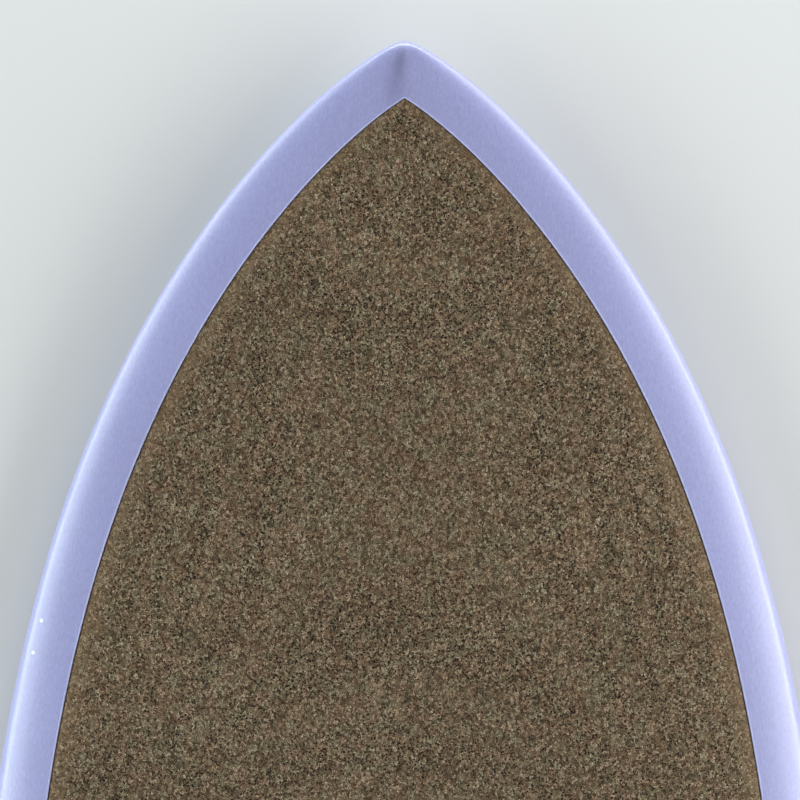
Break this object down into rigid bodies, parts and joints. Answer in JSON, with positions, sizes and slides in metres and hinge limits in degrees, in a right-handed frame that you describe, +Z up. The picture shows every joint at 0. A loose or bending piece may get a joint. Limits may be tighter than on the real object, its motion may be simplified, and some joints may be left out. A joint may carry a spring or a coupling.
{
  "type": "surfboard",
  "caption": "Short surfboard with a rounded-point nose, cork deck inlay, pigmented rails, squash tail, removable fins and a leash plug.",
  "frame": {"origin": "on the floor under the middle of the board's bounding box, with the board lying deck up on its two side fins' tips and its belly", "axes": "+X towards the nose, +Y towards the board's left rail, +Z up out of the deck; the board is pitched about 6 degrees nose-down as it lies"},
  "size_m": [1.775, 0.49, 0.1808],
  "materials": {
    "eps_foam": "expanded polystyrene beads",
    "stringer_wood": "raw plywood strip",
    "lavender_laminate": "pigmented epoxy laminate, satin",
    "clear_laminate": "clear epoxy and glass cloth",
    "cork": "agglomerated cork, matt, open grained",
    "white_plastic": "moulded plastic, sanded flush",
    "black_plastic": "moulded plastic",
    "grey_plastic": "moulded plastic",
    "dense_foam": "closed-cell high-density foam",
    "grub_steel": "stainless",
    "bright_steel": "polished stainless rod",
    "fin_laminate": "glass cloth over a honeycomb core, gloss",
    "seal_rubber": "soft rubber",
    "membrane": "breathable film"
  },
  "bodies": {
    "board": {"blank_left": "eps_foam", "blank_right": "eps_foam", "stringer": "stringer_wood", "hull_skin": "lavender_laminate", "deck_skin": "clear_laminate", "cork_deck": "cork", "fin_box_left": "white_plastic", "fin_box_right": "white_plastic", "fin_box_center": "white_plastic", "fin_block_left": "dense_foam", "fin_block_right": "dense_foam", "fin_block_center": "dense_foam", "leash_cup": "black_plastic", "leash_bar": "bright_steel", "leash_block": "dense_foam", "vent_insert": "white_plastic", "vent_membrane": "membrane"},
    "fin_left": {"fin_left": "fin_laminate"},
    "fin_right": {"fin_right": "fin_laminate"},
    "fin_center": {"fin_center": "fin_laminate"},
    "fin_screw_left_front": {"fin_screw_left_front": "grub_steel"},
    "fin_screw_left_rear": {"fin_screw_left_rear": "grub_steel"},
    "fin_screw_right_front": {"fin_screw_right_front": "grub_steel"},
    "fin_screw_right_rear": {"fin_screw_right_rear": "grub_steel"},
    "fin_screw_center_front": {"fin_screw_center_front": "grub_steel"},
    "fin_screw_center_rear": {"fin_screw_center_rear": "grub_steel"},
    "vent_cap": {"vent_screw": "grey_plastic", "vent_o_ring": "seal_rubber"}
  },
  "joints": [
    {"name": "fin_left_slide", "type": "slide", "parent": "board", "child": "fin_left", "axis": [-0.1948, 0.1085, -0.9748], "range_m": [0, 0.02]},
    {"name": "fin_right_slide", "type": "slide", "parent": "board", "child": "fin_right", "axis": [-0.1948, -0.1085, -0.9748], "range_m": [0, 0.02]},
    {"name": "fin_center_slide", "type": "slide", "parent": "board", "child": "fin_center", "axis": [-0.2229, 0, -0.9748], "range_m": [0, 0.02]},
    {"name": "fin_screw_left_front_turn", "type": "hinge", "parent": "board", "child": "fin_screw_left_front", "pos_m": [-0.51475, 0.15673, 0.09854], "axis": [-0.1228, 0.6585, -0.7425], "range_deg": [0, 720]},
    {"name": "fin_screw_left_rear_turn", "type": "hinge", "parent": "board", "child": "fin_screw_left_rear", "pos_m": [-0.59696, 0.16038, 0.11538], "axis": [-0.1228, 0.6585, -0.7425], "range_deg": [0, 720]},
    {"name": "fin_screw_right_front_turn", "type": "hinge", "parent": "board", "child": "fin_screw_right_front", "pos_m": [-0.51475, -0.15673, 0.09854], "axis": [-0.1228, -0.6585, -0.7425], "range_deg": [0, 720]},
    {"name": "fin_screw_right_rear_turn", "type": "hinge", "parent": "board", "child": "fin_screw_right_rear", "pos_m": [-0.59696, -0.16038, 0.11538], "axis": [-0.1228, -0.6585, -0.7425], "range_deg": [0, 720]},
    {"name": "fin_screw_center_front_turn", "type": "hinge", "parent": "board", "child": "fin_screw_center_front", "pos_m": [-0.70323, 0.00525, 0.13311], "axis": [-0.1826, 0.5736, -0.7985], "range_deg": [0, 720]},
    {"name": "fin_screw_center_rear_turn", "type": "hinge", "parent": "board", "child": "fin_screw_center_rear", "pos_m": [-0.78512, 0.00525, 0.15183], "axis": [-0.1826, 0.5736, -0.7985], "range_deg": [0, 720]},
    {"name": "vent_screw_turn", "type": "hinge", "parent": "board", "child": "vent_cap", "pos_m": [-0.62599, 0.028, 0.15177], "axis": [0.1237, 0.0058, 0.9923], "range_deg": [0, 1440]}
  ]
}
